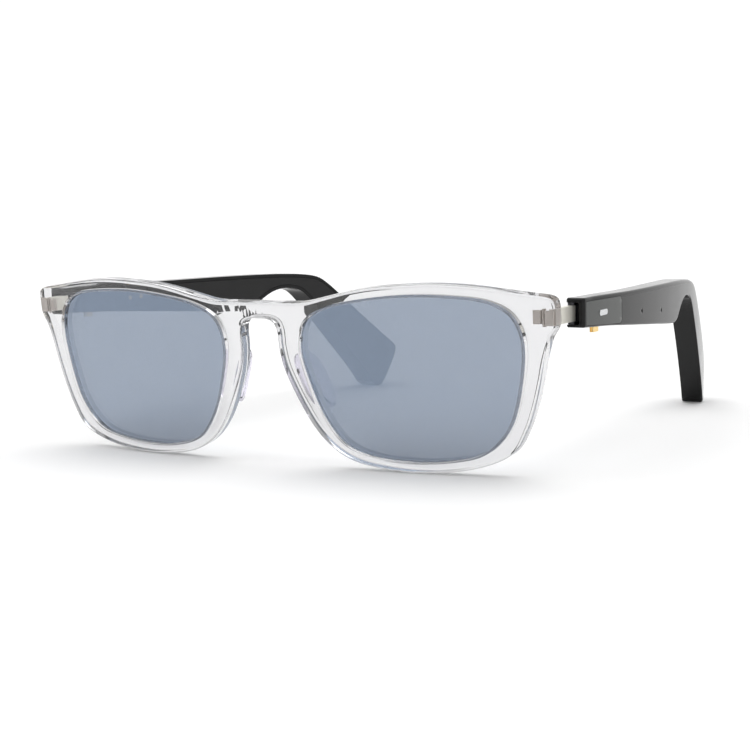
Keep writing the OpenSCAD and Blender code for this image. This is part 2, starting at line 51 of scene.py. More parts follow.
# Lenses: opening, thickness, depth into the groove and depth under the front face
LENS_W, LENS_H, BRIDGE_GAP, LENS_T = 53.2, 37.0, 21.0, 1.4
LENS_SEAT, LENS_DEPTH, LENS_ROUND = 0.5, 1.0, 0.12
# Nose pads: radius and corners (across, behind the front, up)
PAD_R = 1.3
PAD_CORNERS = [(7.4, 0, 4), (9.2, 2.7, 2.6), (11, 0, -7), (13.2, 3.1, -7.4)]
# Temples: length, thickness, the radii and starting turns of their two faces, edge rounding
TEMPLE_L, TEMPLE_T, OUTER_R, INNER_R = 122.7, 4.2, 392.0, 460.0
OUTER_TURN, INNER_TURN = math.radians(0.48), math.radians(2.63)
TOP_ROUND, LOW_ROUND, FAR_ROUND = 1.1, 0.5, 0.35
# Share of the rounding that is left on an edge that gets cut away
SQUARE = 0.08
# The temple's outer wall, its other walls, and the gap between pieces that fit together
OUTER_WALL, WALL, FIT = 1.2, 0.9, 0.05
# Hinge: height over the lens centre, gap behind the front, and the temple's outer face beyond
# the pivot, which lies in from the front's corner
HINGE_H, HINGE_GAP, FACE_OUT = 14.5, 5.4, 3.5
PIVOT_IN, PIVOT_BACK, PIVOT_DROP = 0.9, 1.4, 3.4
TONGUE_H, TONGUE_T, PIN_R = 3.5, 1.4, 0.45
# Anchor: thickness, and how far before the back of the corner it starts
ANCHOR_T, ANCHOR_IN = 1.9, 3.2
# Blocks of the hinge anchor: across the corner from, to, height from, to, and depth of the front
ANCHOR_BLOCKS = [
    (-5.2, -3.4, -1.4, 1.6, 0), (-3.6, -2.3, -0.5, 0.7, 0.7), (-3.1, -2.75, -2, 1.9, 0.2),
    (-2.45, -0.6, -1.75, 1.45, 0)]
# End cap: length, height, front corners, wall round its open recess and height of the recess
CAP_L, CAP_H, CAP_CORNER, CAP_WALL, RECESS_H = 5.8, 6.4, 0.7, 1.3, 4.8
# Spring rod: how far out it lies from the pivot, the hole for it and the length of its housing
ROD_OUT, ROD_HOLE_R, HOUSING_L = 0.5, 0.45, 10.6
# How far the temple and its end cap are made past the joint between them before they are cut
CUT_SPARE = 2.0
# Touch panel: place, length, depth, corners, and the drop of its lower and upper edges
PANEL_BACK, PANEL_L, PANEL_T, PANEL_CORNERS = 0.9, 20.6, 0.45, (0.3, 1.3)
PANEL_LOW, PANEL_HIGH = (6.0, 7.4), (0.8, 1.25)
# Raised bar on the panel: place, half length, half height, corner, how proud and how thick
BAR_BACK, BAR_DROP, BAR_HALF_L, BAR_HALF_H, BAR_CORNER = 10.2, 3.9, 2.2, 0.65, 0.64
BAR_PROUD, BAR_T = 0.16, 0.14
# Microphone holes and the sound outlet
MIC_PLACES, MIC_R, MIC_DEPTH = ((35.2, -5.9), (51.2, -7.2)), 0.4, 1.05
OUTLET_BACK, OUTLET_HALF_L, OUTLET_HALF_W, OUTLET_DROPS = 63.4, 2.5, 0.7, (13, 8)
# Gold key: place, length, width, how far it shows below the temple's edge, gap to the outer wall
KEY_BACK, KEY_L, KEY_W, KEY_SHOWS, KEY_GAP = 8, 2.6, 1.0, 1.2, 0.15
# The temple's edge there, the key's lip, its notch, and the slot that it runs in
KEY_EDGE_DROP, KEY_NOTCH = 6.95, (0.5, 0.35)
LIP_DROP, LIP_REACH, LIP_T, LIP_TRIM = 5.9, 0.3, 0.35, 0.1
SLOT_GAP, SLOT_LOW_DROP, SLOT_HIGH_DROP = 0.1, 9, 5.2
# Charging recess in the inner cover: place, half sizes, depth, and its two contact holes
CHARGE_BACK, CHARGE_DROP, CHARGE_HALF_L, CHARGE_HALF_H, CHARGE_DEPTH = 24.5, 4.3, 5.5, 2.2, 0.3
CONTACT_REACH, CONTACT_R = 2, 0.65

# Outlines: the lens as shares of its half sizes, half of the front from the bridge out and back,
# and the temple seen from its side, behind its front end and down from its top corner
LENS_SHAPE = [
    (0.99, 0.36), (0.925, 0.735), (0.725, 0.92), (0.405, 0.985), (0.03, 1), (-0.345, 0.955),
    (-0.685, 0.865), (-0.925, 0.69), (-0.997, 0.35), (-0.94, -0.055), (-0.815, -0.5),
    (-0.625, -0.83), (-0.345, -0.965), (-0.01, -1), (0.33, -0.968), (0.61, -0.865),
    (0.81, -0.605), (0.917, -0.245)]
BROW = [
    (0, 17.15), (6, 17.1), (12, 17.2), (17.5, 18.3), (24, 19.7), (30, 20.6), (37, 21.05),
    (44, 21.2), (51, 20.8), (58, 19.9), (65, 18.8), (69, 18.2), (70.6, 17.4), (71, 16)]
RIM = [
    (71, 12.4), (70.5, 10.9), (69.2, 8.8), (68, 5), (66.8, 0), (65.2, -5.5), (63.2, -10.6),
    (60.4, -15.4), (56.4, -18), (50, -19.9), (43, -20.8), (36, -21), (29, -20.4), (22.4, -19.1),
    (17, -16.2), (12.8, -11.8), (9.8, -6.8), (7.4, -1.8), (5.8, 2.4), (5.1, 6.4), (5, 10),
    (4.3, 12.2), (2.4, 13.2), (0, 13.3)]
TEMPLE_SHAPE = [
    (0, -6.4), (13.4, -7.2), (28.4, -8.5), (44.4, -9.9), (56.4, -11), (62.4, -11.5),
    (66, -11.6), (68.9, -10.8), (72.4, -8.6), (76.4, -6.9), (80.9, -6.3), (85.9, -7.1),
    (89.4, -9.3), (94.4, -14.6), (103.9, -25.4), (111, -33.8), (113, -36.8), (114.8, -38.4),
    (116.4, -38.5), (117.8, -37.4), (120.2, -33.6), (122.3, -29.6), (122.7, -27.8),
    (122, -26.2), (118.4, -23.2), (111.9, -17.9), (103.4, -10.8), (97.9, -6.4), (93.9, -4),
    (88.9, -2.9), (81.4, -2.2), (70.4, -1.7), (56.4, -1.3), (42.4, -1), (28.4, -0.7),
    (14.4, -0.3), (0, 0)]


# ---- Outlines ----

def spline(a, b, c, d, t):
    """A point of a smooth curve between b and c."""
    return tuple(0.5 * (2 * q + (r - p) * t + (2 * p - 5 * q + 4 * r - s) * t * t
                        + (3 * q - p - 3 * r + s) * t ** 3) for p, q, r, s in zip(a, b, c, d))


def open_curve(points, steps):
    """A smooth open line through the points, with steps parts between each two."""
    last = len(points) - 1
    curve = [spline(points[max(i - 1, 0)], points[i], points[i + 1], points[min(i + 2, last)],
                    k / steps) for i in range(last) for k in range(steps)]
    return curve + [tuple(points[-1])]


def closed_curve(points, steps):
    """A smooth closed outline through the points."""
    n = len(points)
    return [spline(points[i - 1], points[i], points[(i + 1) % n], points[(i + 2) % n], k / steps)
            for i in range(n) for k in range(steps)]


def clipped(loop, limit, keep):
    """The part of a closed outline that lies beyond (keep 1) or before (keep -1) a limit."""
    out = []
    for a, b in zip(loop, loop[1:] + loop[:1]):
        in_a, in_b = (keep * (p[0] - limit) >= 0 for p in (a, b))
        if in_a:
            out.append(a)
        if in_a != in_b:
            t = (limit - a[0]) / (b[0] - a[0])
            out.append((limit, a[1] + t * (b[1] - a[1])))
    return out


def rounded(corners, radius, steps=6):
    """A closed polygon with its corners turned into arcs of one radius, or of one for each."""
    radii = radius if isinstance(radius, (list, tuple)) else [radius] * len(corners)
    out = []
    for i, r in enumerate(radii):
        p, q, s = (Vector(corners[j % len(corners)]) for j in (i - 1, i, i + 1))
        to_p, to_s = (p - q).normalized(), (s - q).normalized()
        half = to_p.angle(to_s) / 2
        reach = r / math.tan(half)
        start, end = q + to_p * reach, q + to_s * reach
        centre = q + (to_p + to_s).normalized() * (r / math.sin(half))
        for k in range(steps + 1):
            between = start.lerp(end, k / steps) - centre
            out.append(tuple(centre + between.normalized() * r))
    return out


def resampled(loop, spacing):
    """The same outline with no step longer than spacing."""
    out = []
    for a, b in zip(loop, loop[1:] + loop[:1]):
        n = max(1, math.ceil(math.dist(a, b) / spacing))
        out += [(a[0] + (b[0] - a[0]) * k / n, a[1] + (b[1] - a[1]) * k / n) for k in range(n)]
    return out


def backwards(loop):
    return list(loop)[::-1]


def circle(middle, radius, steps=20):
    return [(middle[0] + radius * math.cos(2 * math.pi * k / steps),
             middle[1] + radius * math.sin(2 * math.pi * k / steps)) for k in range(steps)]


def rectangle(middle, half_w, half_h):
    u, v = middle
    return [(u - half_w, v - half_h), (u + half_w, v - half_h),
            (u + half_w, v + half_h), (u - half_w, v + half_h)]


def inset(loop, amount):
    """Outline moved to its left by amount, which is one value or one for each point."""
    p = np.asarray(loop, float)
    before, after = p - np.roll(p, 1, 0), np.roll(p, -1, 0) - p
    before /= np.linalg.norm(before, axis=1)[:, None]
    after /= np.linalg.norm(after, axis=1)[:, None]
    left = np.stack([-(before + after)[:, 1], (before + after)[:, 0]], 1)
    left /= np.linalg.norm(left, axis=1)[:, None]
    stretch = np.maximum((left * np.stack([-after[:, 1], after[:, 0]], 1)).sum(1), 0.5)
    return p + left * (np.asarray(amount) * np.ones(len(p)) / stretch)[:, None]


def inside(points, loop):
    """Which points lie inside a closed outline."""
    x, y = points[:, 0][:, None], points[:, 1][:, None]
    a, b = np.asarray(loop, float), np.roll(np.asarray(loop, float), -1, 0)
    crosses = (a[:, 1] > y) != (b[:, 1] > y)
    rise = np.where(b[:, 1] == a[:, 1], 1e-12, b[:, 1] - a[:, 1])
    hits = crosses & (x < (b[:, 0] - a[:, 0]) * (y - a[:, 1]) / rise + a[:, 0])
    return hits.sum(1) % 2 == 1


def clearance(points, loop):
    """Distance of each point from a closed outline."""
    a = np.asarray(loop, float)
    step = np.roll(a, -1, 0) - a
    rel = points[:, None] - a[None]
    t = np.clip((rel * step).sum(2) / np.maximum((step ** 2).sum(1), 1e-12), 0, 1)
    return np.sqrt(((rel - t[..., None] * step) ** 2).sum(2)).min(1)


# ---- Places worked out as in the part ----

def bow(x):
    """How far the bowed front has come back at x."""
    return BOW_R - math.sqrt(BOW_R ** 2 - x * x)


lens_mid_x = (BRIDGE_GAP + LENS_W) / 2
lens_edge = [(lens_mid_x + a * LENS_W / 2, b * LENS_H / 2) for a, b in closed_curve(LENS_SHAPE, 10)]
half_edge = open_curve(BROW, 6) + open_curve(RIM, 6)
front_edge = half_edge + [(-u, h) for u, h in half_edge[-2:0:-1]]
face_z = -min(h * math.cos(TILT) + bow(u) * math.sin(TILT) for u, h in front_edge)
bridge_top_y = -BROW[0][1] * math.sin(TILT)
corner_x = FRONT_W / 2
corner_y = (bow(corner_x) + FRONT_T) * math.cos(TILT) - HINGE_H * math.sin(TILT)
temple_y = corner_y + HINGE_GAP
temple_curve = open_curve(TEMPLE_SHAPE, 6)
temple_top = -min(p[1] for p in temple_curve)
temple_edge = [(temple_y + d, temple_top + drop) for d, drop in temple_curve]
mid_y = (bridge_top_y + temple_y + TEMPLE_L) / 2
pivot_x, pivot_y, pivot_z = corner_x - PIVOT_IN, temple_y + PIVOT_BACK, temple_top - PIVOT_DROP
cap_back = temple_y + CAP_L
inner_open = cap_back + HOUSING_L + 2 * FIT
face_x = pivot_x + FACE_OUT
outer_cx = face_x - OUTER_R * math.cos(OUTER_TURN)
outer_cy = temple_y - OUTER_R * math.sin(OUTER_TURN)
inner_cx = face_x - TEMPLE_T - INNER_R * math.cos(INNER_TURN)
inner_cy = temple_y - INNER_R * math.sin(INNER_TURN)
panel_y = temple_y + PANEL_BACK
key_y = temple_y + KEY_BACK
charge_y, charge_z = temple_y + CHARGE_BACK, temple_top - CHARGE_DROP


def outer_x(y, depth=0.0):
    """Where the temple's outer face is, or a face at a depth under it."""
    return outer_cx + math.sqrt((OUTER_R - depth) ** 2 - (y - outer_cy) ** 2)


def inner_x(y, rise=0.0):
    """Where the temple's inner face is, or a face over it towards the outer one."""
    return inner_cx + math.sqrt((INNER_R + rise) ** 2 - (y - inner_cy) ** 2)


key_x = outer_x(key_y + KEY_L) - OUTER_WALL - KEY_GAP - KEY_W / 2


def on_front(u, h, far, depth, top=0.0, thick=FRONT_T):
    """Place on the leaning, bowed front: depth under its front face, or over its back if far."""
    under = top + (thick - depth if far else depth)
    y = BOW_R - math.sqrt((BOW_R - under) ** 2 - u * u)
    return Vector((u, y * math.cos(TILT) - h * math.sin(TILT) - mid_y,
                   face_z + y * math.sin(TILT) + h * math.cos(TILT)))


def on_lens(u, h, far, depth):
    """Place on a lens, which lies inside the front."""
    return on_front(u, h, far, depth, LENS_DEPTH, LENS_T)


def on_temple(y, z, far, depth):
    """Place on a temple: depth under its outer face, or over its inner face if far."""
    x = inner_x(y, depth) if far else outer_x(y, depth)
    return Vector((x, y - mid_y, z))


def on_sheet(top, thick):
    """Places on a thin piece that lies under the outer face."""
    return lambda y, z, far, depth: Vector((
        outer_x(y, top + (thick - depth if far else depth)), y - mid_y, z))


def on_cover(y, z, far, depth):
    """Places on the inner cover: near is the face towards the head."""
    return Vector((inner_x(y, WALL - depth if far else depth), y - mid_y, z))


# ---- Meshes ----

def arc(radius, far=False, steps=5):
    """Steps round an edge, as (inset, far, depth), from the face to the wall."""
    turn = [math.pi / 2 * k / steps for k in range(steps + 1)]
    return [(radius * (1 - math.sin(a)), far, radius * (1 - math.cos(a))) for a in turn]


def edge_profile(near_radius, far_radius, wall=()):
    """Steps from the near face, round its edge, down the wall and round the far edge."""
    return arc(near_radius) + list(wall) + arc(far_radius, True)[::-1]


def face_triangles(bm, loops, ring_verts, locate, spacing):
    """Fills the face inside the first loop and outside the others, with a grid so it can bend."""
    outer = np.asarray(loops[0])
    low, high = outer.min(0), outer.max(0)
    rows = np.arange(low[1], high[1], spacing * 0.87)
    grid = np.array([(x + spacing / 2 * (i % 2), y) for i, y in enumerate(rows)
                     for x in np.arange(low[0], high[0], spacing)]).reshape(-1, 2)
    if len(grid):
        keep = inside(grid, outer) & (clearance(grid, outer) > spacing * 0.45)
        for hole in loops[1:]:
            keep &= ~inside(grid, hole) & (clearance(grid, hole) > spacing * 0.45)
        grid = grid[keep]
    points, edges, verts = [], [], []
    for loop, ring in zip(loops, ring_verts):
        start, n = len(points), len(loop)
        points += [Vector(p) for p in np.asarray(loop)]
        edges += [(start + k, start + (k + 1) % n) for k in range(n)]
        verts += ring
    verts += [bm.verts.new(locate(*p)) for p in grid]
    points += [Vector(p) for p in grid]
    out_points, _, tris, origin, _, _ = delaunay_2d_cdt(points, edges, [], 0, 1e-7)
    middles = np.array([sum((out_points[i] for i in t), Vector((0, 0))) / 3 for t in tris])
    keep = inside(middles, outer)
    for hole in loops[1:]:
        keep &= ~inside(middles, hole)
    for t, good in zip(tris, keep):
        corners = [verts[origin[i][0]] for i in t if origin[i]]
        if good and len(set(corners)) == 3:
            bm.faces.new(corners)


def slab(name, place, outline, profile, holes=(), pockets=(), side=LEFT, spacing=3.0, sharp=None):
    """A plate between a near and a far face, with rounded edges, holes and blind pockets.

    outline runs anticlockwise and holes and pockets clockwise, so the plate is on their left.
    sharp says how much of the edge rounding each point of the outline keeps."""
    bm = bmesh.new()
    share = np.ones(len(outline)) if sharp is None else np.asarray(sharp)
    near, far, near_rings, far_rings = [], [], [], []

    def ring(loop, step, share):
        moved = inset(loop, step[0] * share)
        verts = []
        for p, s in zip(moved, share):
            spot = place(p[0], p[1], step[1], step[2] * s)
            verts.append(bm.verts.new((spot.x * side, spot.y, spot.z)))
        return moved, verts

    def walls(loop, steps, share):
        rings = [ring(loop, step, share) for step in steps]
        for (_, a), (_, b) in zip(rings, rings[1:]):
            n = len(a)
            for k in range(n):
                bm.faces.new((a[k], a[(k + 1) % n], b[(k + 1) % n], b[k]))
        return rings[0], rings[-1]

    def flat(far_side, depth=0.0):
        def locate(u, v):
            spot = place(u, v, far_side, depth)
            return spot.x * side, spot.y, spot.z
        return locate

    through = [(outline, profile, share)]
    through += [(loop, steps, np.ones(len(loop))) for loop, steps in holes]
    for loop, steps, kept in through:
        first, last = walls(loop, steps, kept)
        near.append(first[0])
        near_rings.append(first[1])
        far.append(last[0])
        far_rings.append(last[1])
    for loop, steps in pockets:
        first, last = walls(loop, steps, np.ones(len(loop)))
        near.append(first[0])
        near_rings.append(first[1])
        face_triangles(bm, [last[0]], [last[1]], flat(False, steps[-1][2]), spacing)
    face_triangles(bm, near, near_rings, flat(False), spacing)
    face_triangles(bm, far, far_rings, flat(True), spacing)
    return finished(name, bm)


def finished(name, bm, crease=35):
    """Turns a bmesh in millimetres into an object in metres, smooth except at its creases."""
    bmesh.ops.remove_doubles(bm, verts=bm.verts, dist=1e-5)
    bmesh.ops.recalc_face_normals(bm, faces=bm.faces)
    bmesh.ops.scale(bm, vec=(MM, MM, MM), verts=bm.verts)
    creased(bm, crease)
    mesh = bpy.data.meshes.new(name)
    bm.to_mesh(mesh)
    bm.free()
    piece = bpy.data.objects.new(name, mesh)
    bpy.context.scene.collection.objects.link(piece)
    return piece


def creased(bm, crease=35):
    """Smooth faces, with a sharp edge wherever two of them meet at more than crease degrees."""
    for face in bm.faces:
        face.smooth = True
    for edge in bm.edges:
        edge.smooth = len(edge.link_faces) == 2 and edge.calc_face_angle() < math.radians(crease)


def combine(piece, others, way="DIFFERENCE"):
    """Takes the others out of a piece, or joins them to it, for good."""
    for other in others:
        change = piece.modifiers.new("change", "BOOLEAN")
        change.operation = way
        change.solver = "EXACT"
        change.object = other
    graph = bpy.context.evaluated_depsgraph_get()
    graph.update()
    made = bpy.data.meshes.new_from_object(piece.evaluated_get(graph))
    piece.modifiers.clear()
    piece.data = made
    for other in others:
        bpy.data.objects.remove(other)
    bm = bmesh.new()
    bm.from_mesh(made)
    creased(bm)
    bm.to_mesh(made)
    bm.free()
    return piece


def block(name, low, high, side=LEFT, bevel=0.0, segments=3):
    """A box between two corners with rounded edges."""
    bm = bmesh.new()
    bmesh.ops.create_cube(bm, size=1)
    size = [b - a for a, b in zip(low, high)]
    bmesh.ops.scale(bm, vec=size, verts=bm.verts)
    middle = [(a + b) / 2 for a, b in zip(low, high)]
    bmesh.ops.translate(bm, vec=(middle[0], middle[1] - mid_y, middle[2]), verts=bm.verts)
    if bevel:
        bmesh.ops.bevel(bm, geom=bm.edges[:], offset=bevel, segments=segments, profile=0.5,
                        affect="EDGES", clamp_overlap=True)
    bmesh.ops.transform(bm, matrix=Matrix.Diagonal((side, 1, 1, 1)), verts=bm.verts)
    return finished(name, bm)


def rod(name, start, end, radius, side=LEFT, sides=32):
    """A round bar between two points."""
    bm = bmesh.new()
    a, b = Vector(start), Vector(end)
    turn = (b - a).to_track_quat("Z", "Y").to_matrix().to_4x4()
    bmesh.ops.create_cone(bm, cap_ends=True, segments=sides, radius1=radius, radius2=radius,
                          depth=(b - a).length, matrix=Matrix.Translation((a + b) / 2) @ turn)
    bmesh.ops.translate(bm, vec=(0, -mid_y, 0), verts=bm.verts)
    bmesh.ops.transform(bm, matrix=Matrix.Diagonal((side, 1, 1, 1)), verts=bm.verts)
    return finished(name, bm)


# ---- Materials ----

def material(name, color, roughness, **settings):
    """A node material with its fixed values on the shader's own sockets."""
    made = bpy.data.materials.new(name)
    made.use_nodes = True
    shader = made.node_tree.nodes["Principled BSDF"]
    shader.inputs["Base Color"].default_value = (*color, 1)
    shader.inputs["Roughness"].default_value = roughness
    for socket, value in settings.items():
        shader.inputs[socket.replace("_", " ")].default_value = value
    return made, made.node_tree, shader


def grain(tree, shader, scale, strength, depth=0.0001, detail=3.0, squeeze=(1, 1, 1)):
    """Fine bump from noise in the object's own coordinates."""
    coords = tree.nodes.new("ShaderNodeTexCoord")
    mapping = tree.nodes.new("ShaderNodeMapping")
    mapping.inputs["Scale"].default_value = squeeze
    noise = tree.nodes.new("ShaderNodeTexNoise")
    noise.inputs["Scale"].default_value = scale
    noise.inputs["Detail"].default_value = detail
    bump = tree.nodes.new("ShaderNodeBump")
    bump.inputs["Strength"].default_value = strength
    bump.inputs["Distance"].default_value = depth
    tree.links.new(coords.outputs["Object"], mapping.inputs["Vector"])
    tree.links.new(mapping.outputs["Vector"], noise.inputs["Vector"])
    tree.links.new(noise.outputs["Fac"], bump.inputs["Height"])
    tree.links.new(bump.outputs["Normal"], shader.inputs["Normal"])
    return noise


def vary(tree, shader, socket, low, high, scale, detail=4.0):
    """Lets a socket drift between two values over the surface."""
    coords = tree.nodes.new("ShaderNodeTexCoord")
    noise = tree.nodes.new("ShaderNodeTexNoise")
    noise.inputs["Scale"].default_value = scale
    noise.inputs["Detail"].default_value = detail
    ramp = tree.nodes.new("ShaderNodeValToRGB")
    for stop, value, place in ((0, low, 0.3), (1, high, 0.7)):
        ramp.color_ramp.elements[stop].position = place
        shade = value if isinstance(value, tuple) else (value,) * 3
        ramp.color_ramp.elements[stop].color = (*shade, 1)
    tree.links.new(coords.outputs["Object"], noise.inputs["Vector"])
    tree.links.new(noise.outputs["Fac"], ramp.inputs["Fac"])
    tree.links.new(ramp.outputs["Color"], shader.inputs[socket])


def clear_plastic():
    made, tree, shader = material("clear_plastic", (0.76, 0.76, 0.772), 0.012,
                                  Transmission_Weight=1.0, IOR=1.49)
    grain(tree, shader, 60, 0.05, 0.0002, 1.0)
    return made


def pad_plastic():
    made, tree, shader = material("pad_plastic", (0.82, 0.8, 0.9), 0.05,
                                  Transmission_Weight=1.0, IOR=1.43)
    grain(tree, shader, 900, 0.06, 0.00005)
    return made


def lens_coat():
    made, tree, shader = material("lens_coat", (0.26, 0.318, 0.41), 0.03,
                                  Metallic=1.0, Alpha=0.66)
    vary(tree, shader, "Roughness", 0.02, 0.045, 40)
    return made


def gloss_black():
    made, tree, shader = material("gloss_black", (0.012, 0.012, 0.0122), 0.13,
                                  Specular_IOR_Level=0.3, IOR=1.33)
    vary(tree, shader, "Roughness", 0.09, 0.16, 160)
    grain(tree, shader, 1400, 0.08, 0.00003)
    return made


def satin_black():
    made, tree, shader = material("satin_black", (0.007, 0.007, 0.0073), 0.4,
                                  Specular_IOR_Level=0.3)
    vary(tree, shader, "Roughness", 0.34, 0.48, 300)
    grain(tree, shader, 5200, 0.35, 0.00004, 2.0)
    return made


def panel_black():
    made, tree, shader = material("panel_black", (0.035, 0.039, 0.036), 0.2,
                                  Specular_IOR_Level=0.3)
    vary(tree, shader, "Roughness", 0.17, 0.24, 220)
    grain(tree, shader, 2600, 0.06, 0.00002)
    return made


def metal(name, color, low, high, squeeze=(1, 1, 1), scale=900, strength=0.15):
    made, tree, shader = material(name, color, low, Metallic=1.0)
    vary(tree, shader, "Roughness", low, high, 500)
    grain(tree, shader, scale, strength, 0.00003, 2.0, squeeze)
    return made


def hinge_metal():
    """Cream satin plating on the tongue, with painted shade darkening the anchor buried in the
    front.
    """
    made, tree, shader = material("nickel_silver", (0.7, 0.67, 0.58), 0.38, Metallic=0.45)
    coords = tree.nodes.new("ShaderNodeTexCoord")
    mapping = tree.nodes.new("ShaderNodeMapping")
    buried, bare = (corner_y - mid_y - 0.9) * MM, (corner_y - mid_y) * MM
    mapping.inputs["Scale"].default_value = (0, 1 / (bare - buried), 0)
    mapping.inputs["Location"].default_value = (0, -buried / (bare - buried), 0)
    split = tree.nodes.new("ShaderNodeSeparateXYZ")
    ramp = tree.nodes.new("ShaderNodeValToRGB")
    # Painted shade: the anchor buried in the clear corner gets the darker colour, the bare tongue
    # the lighter cream
    ramp.color_ramp.elements[0].color = (0.68, 0.62, 0.57, 1)
    ramp.color_ramp.elements[1].color = (0.84, 0.82, 0.74, 1)
    tree.links.new(coords.outputs["Object"], mapping.inputs["Vector"])
    tree.links.new(mapping.outputs["Vector"], split.inputs["Vector"])
    tree.links.new(split.outputs["Y"], ramp.inputs["Fac"])
    tree.links.new(ramp.outputs["Color"], shader.inputs["Base Color"])
    grain(tree, shader, 260, 0.12, 0.00003, 2.0, (1, 1, 12))
    return made


def moulded(name, color, roughness=0.45):
    made, tree, shader = material(name, color, roughness)
    vary(tree, shader, "Base Color", tuple(c * 0.85 for c in color), color, 350)
    grain(tree, shader, 2500, 0.2, 0.00003)
    return made


def circuit_green():
    """Solder mask with copper tracks showing through it."""
    made, tree, shader = material("circuit_green", (0.02, 0.16, 0.07), 0.35)
    coords = tree.nodes.new("ShaderNodeTexCoord")
    bricks = tree.nodes.new("ShaderNodeTexBrick")
    bricks.inputs["Scale"].default_value = 900
    bricks.inputs["Mortar Size"].default_value = 0.06
    bricks.inputs["Color1"].default_value = (0.02, 0.16, 0.07, 1)
    bricks.inputs["Color2"].default_value = (0.025, 0.2, 0.085, 1)
    bricks.inputs["Mortar"].default_value = (0.1, 0.3, 0.1, 1)
    turn = tree.nodes.new("ShaderNodeMapping")
    turn.inputs["Rotation"].default_value = (0, math.pi / 2, 0)
    tree.links.new(coords.outputs["Object"], turn.inputs["Vector"])
    tree.links.new(turn.outputs["Vector"], bricks.inputs["Vector"])
    tree.links.new(bricks.outputs["Color"], shader.inputs["Base Color"])
    grain(tree, shader, 1800, 0.15, 0.00003)
    return made


CLEAR = clear_plastic()
PAD = pad_plastic()
LENS = lens_coat()
GLOSS = gloss_black()
SATIN = satin_black()
PANEL = panel_black()
NICKEL = hinge_metal()
DARK_METAL = metal("black_metal", (0.06, 0.06, 0.065), 0.3, 0.4)
STEEL = metal("bright_steel", (0.6, 0.6, 0.6), 0.2, 0.32, (1, 8, 1))
SILVER = metal("inlay_silver", (0.62, 0.63, 0.64), 0.18, 0.28)
GOLD = metal("gold_plate", (0.86, 0.62, 0.27), 0.2, 0.3, (6, 1, 1))
NODE_LOOKS = {
    "hinge_carrier": DARK_METAL, "spring_housing": DARK_METAL, "pivot_pin": STEEL,
    "spring_nut": STEEL, "hinge_spring": STEEL, "charge_contacts": GOLD,
    "touch_sensor": moulded("amber_film", (0.5, 0.26, 0.06), 0.3),
    "main_board": circuit_green(), "battery": metal("cell_foil", (0.6, 0.62, 0.65), 0.3, 0.42),
    "speaker": moulded("speaker_can", (0.06, 0.06, 0.065), 0.4),
    "speaker_mesh": metal("mesh_steel", (0.2, 0.2, 0.2), 0.4, 0.5, scale=4000, strength=0.6),
    "microphones": metal("microphone_can", (0.66, 0.58, 0.4), 0.3, 0.4),
    "button_switch": moulded("switch_body", (0.05, 0.05, 0.055), 0.5),
    "charge_magnets": metal("magnet_nickel", (0.65, 0.65, 0.66), 0.14, 0.22),
}
NODE_LOOKS["flex_cable"] = NODE_LOOKS["touch_sensor"]


def dress(piece, look):
    piece.data.materials.clear()
    piece.data.materials.append(look)


def add(piece, look, body, slot, *nodes):
    """Gives a piece its material, its body and the CAD nodes that it stands for; slot is not used.
    """
    dress(piece, look)
    even = piece.modifiers.new("even", "WEIGHTED_NORMAL")
    even.keep_sharp = True
    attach(piece, body)
    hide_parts(*nodes)


# ---- Front ----

def clear_front():
    """The clear front, with a groove round each lens opening."""
    groove = LENS_SEAT + FIT
    # The lens openings run clockwise, so the groove goes into the plastic on their left
    seat = [(0, False, LENS_DEPTH - FIT), (groove, False, LENS_DEPTH - FIT),
            (groove, False, LENS_DEPTH + LENS_T + FIT), (0, False, LENS_DEPTH + LENS_T + FIT)]
    profile = edge_profile(OPENING_ROUND, OPENING_ROUND, seat)
    holes = [(backwards(lens_edge), profile), ([(-u, h) for u, h in lens_edge], profile)]
    piece = slab("clear_front", on_front, backwards(front_edge),
                 edge_profile(FRONT_ROUND, FRONT_ROUND), holes, spacing=2.2)
    add(piece, CLEAR, "front", "clear_frame", "frame_front")


def lens(name, side):
    outline = [tuple(p) for p in inset(lens_edge, -LENS_SEAT)]
    piece = slab("mirror_lens_" + name, on_lens, outline, edge_profile(LENS_ROUND, LENS_ROUND),
                 side=side, spacing=2.2)
    add(piece, LENS, "front", "lens_mirror", "lens_" + name)


def nose_pad(name, side):
    """A soft rounded pad between the corners that the part gives its pad."""
    start_y = FRONT_T + FIT + PAD_R
    corners = [Vector((u, start_y + bow(u) + back, h)) for u, back, h in PAD_CORNERS]
    middle = sum(corners, Vector()) / 4
    along = (corners[0] + corners[1] - corners[2] - corners[3]) / 4
    across = (corners[1] + corners[3] - corners[0] - corners[2]) / 4
    along += along.normalized() * PAD_R
    across += across.normalized() * PAD_R
    through = along.cross(across).normalized() * PAD_R
    bm = pillow(middle, along, across, through)
    lean = Matrix.Rotation(TILT, 4, "X")
    place = Matrix.Diagonal((side, 1, 1, 1)) @ Matrix.Translation((0, -mid_y, face_z)) @ lean
    bmesh.ops.transform(bm, matrix=place, verts=bm.verts)
    add(finished("clear_pad_" + name, bm), PAD, "front", "clear_pad", "nose_pad_" + name)


def pillow(middle, along, across, through, steps=28):
    """A closed form between a ball and a box, with its three half axes given."""
    bm = bmesh.new()
    rings = []
    for i in range(1, steps):
        lat = math.pi * i / steps - math.pi / 2
        row = []
        for k in range(2 * steps):
            lon = math.pi * k / steps
            a, b, c = math.sin(lat), math.cos(lat) * math.cos(lon), math.cos(lat) * math.sin(lon)
            size = (abs(a) ** 3 + abs(b) ** 2.6 + abs(c) ** 2.6) ** (1 / 2.8)
            spot = middle + (along * a + across * b + through * c) / size
            row.append(bm.verts.new(spot))
        rings.append(row)
    for a, b in zip(rings, rings[1:]):
        for k in range(len(a)):
            bm.faces.new((a[k], a[(k + 1) % len(a)], b[(k + 1) % len(a)], b[k]))
    bm.faces.new(rings[0][::-1])
    bm.faces.new(rings[-1])
    return bm


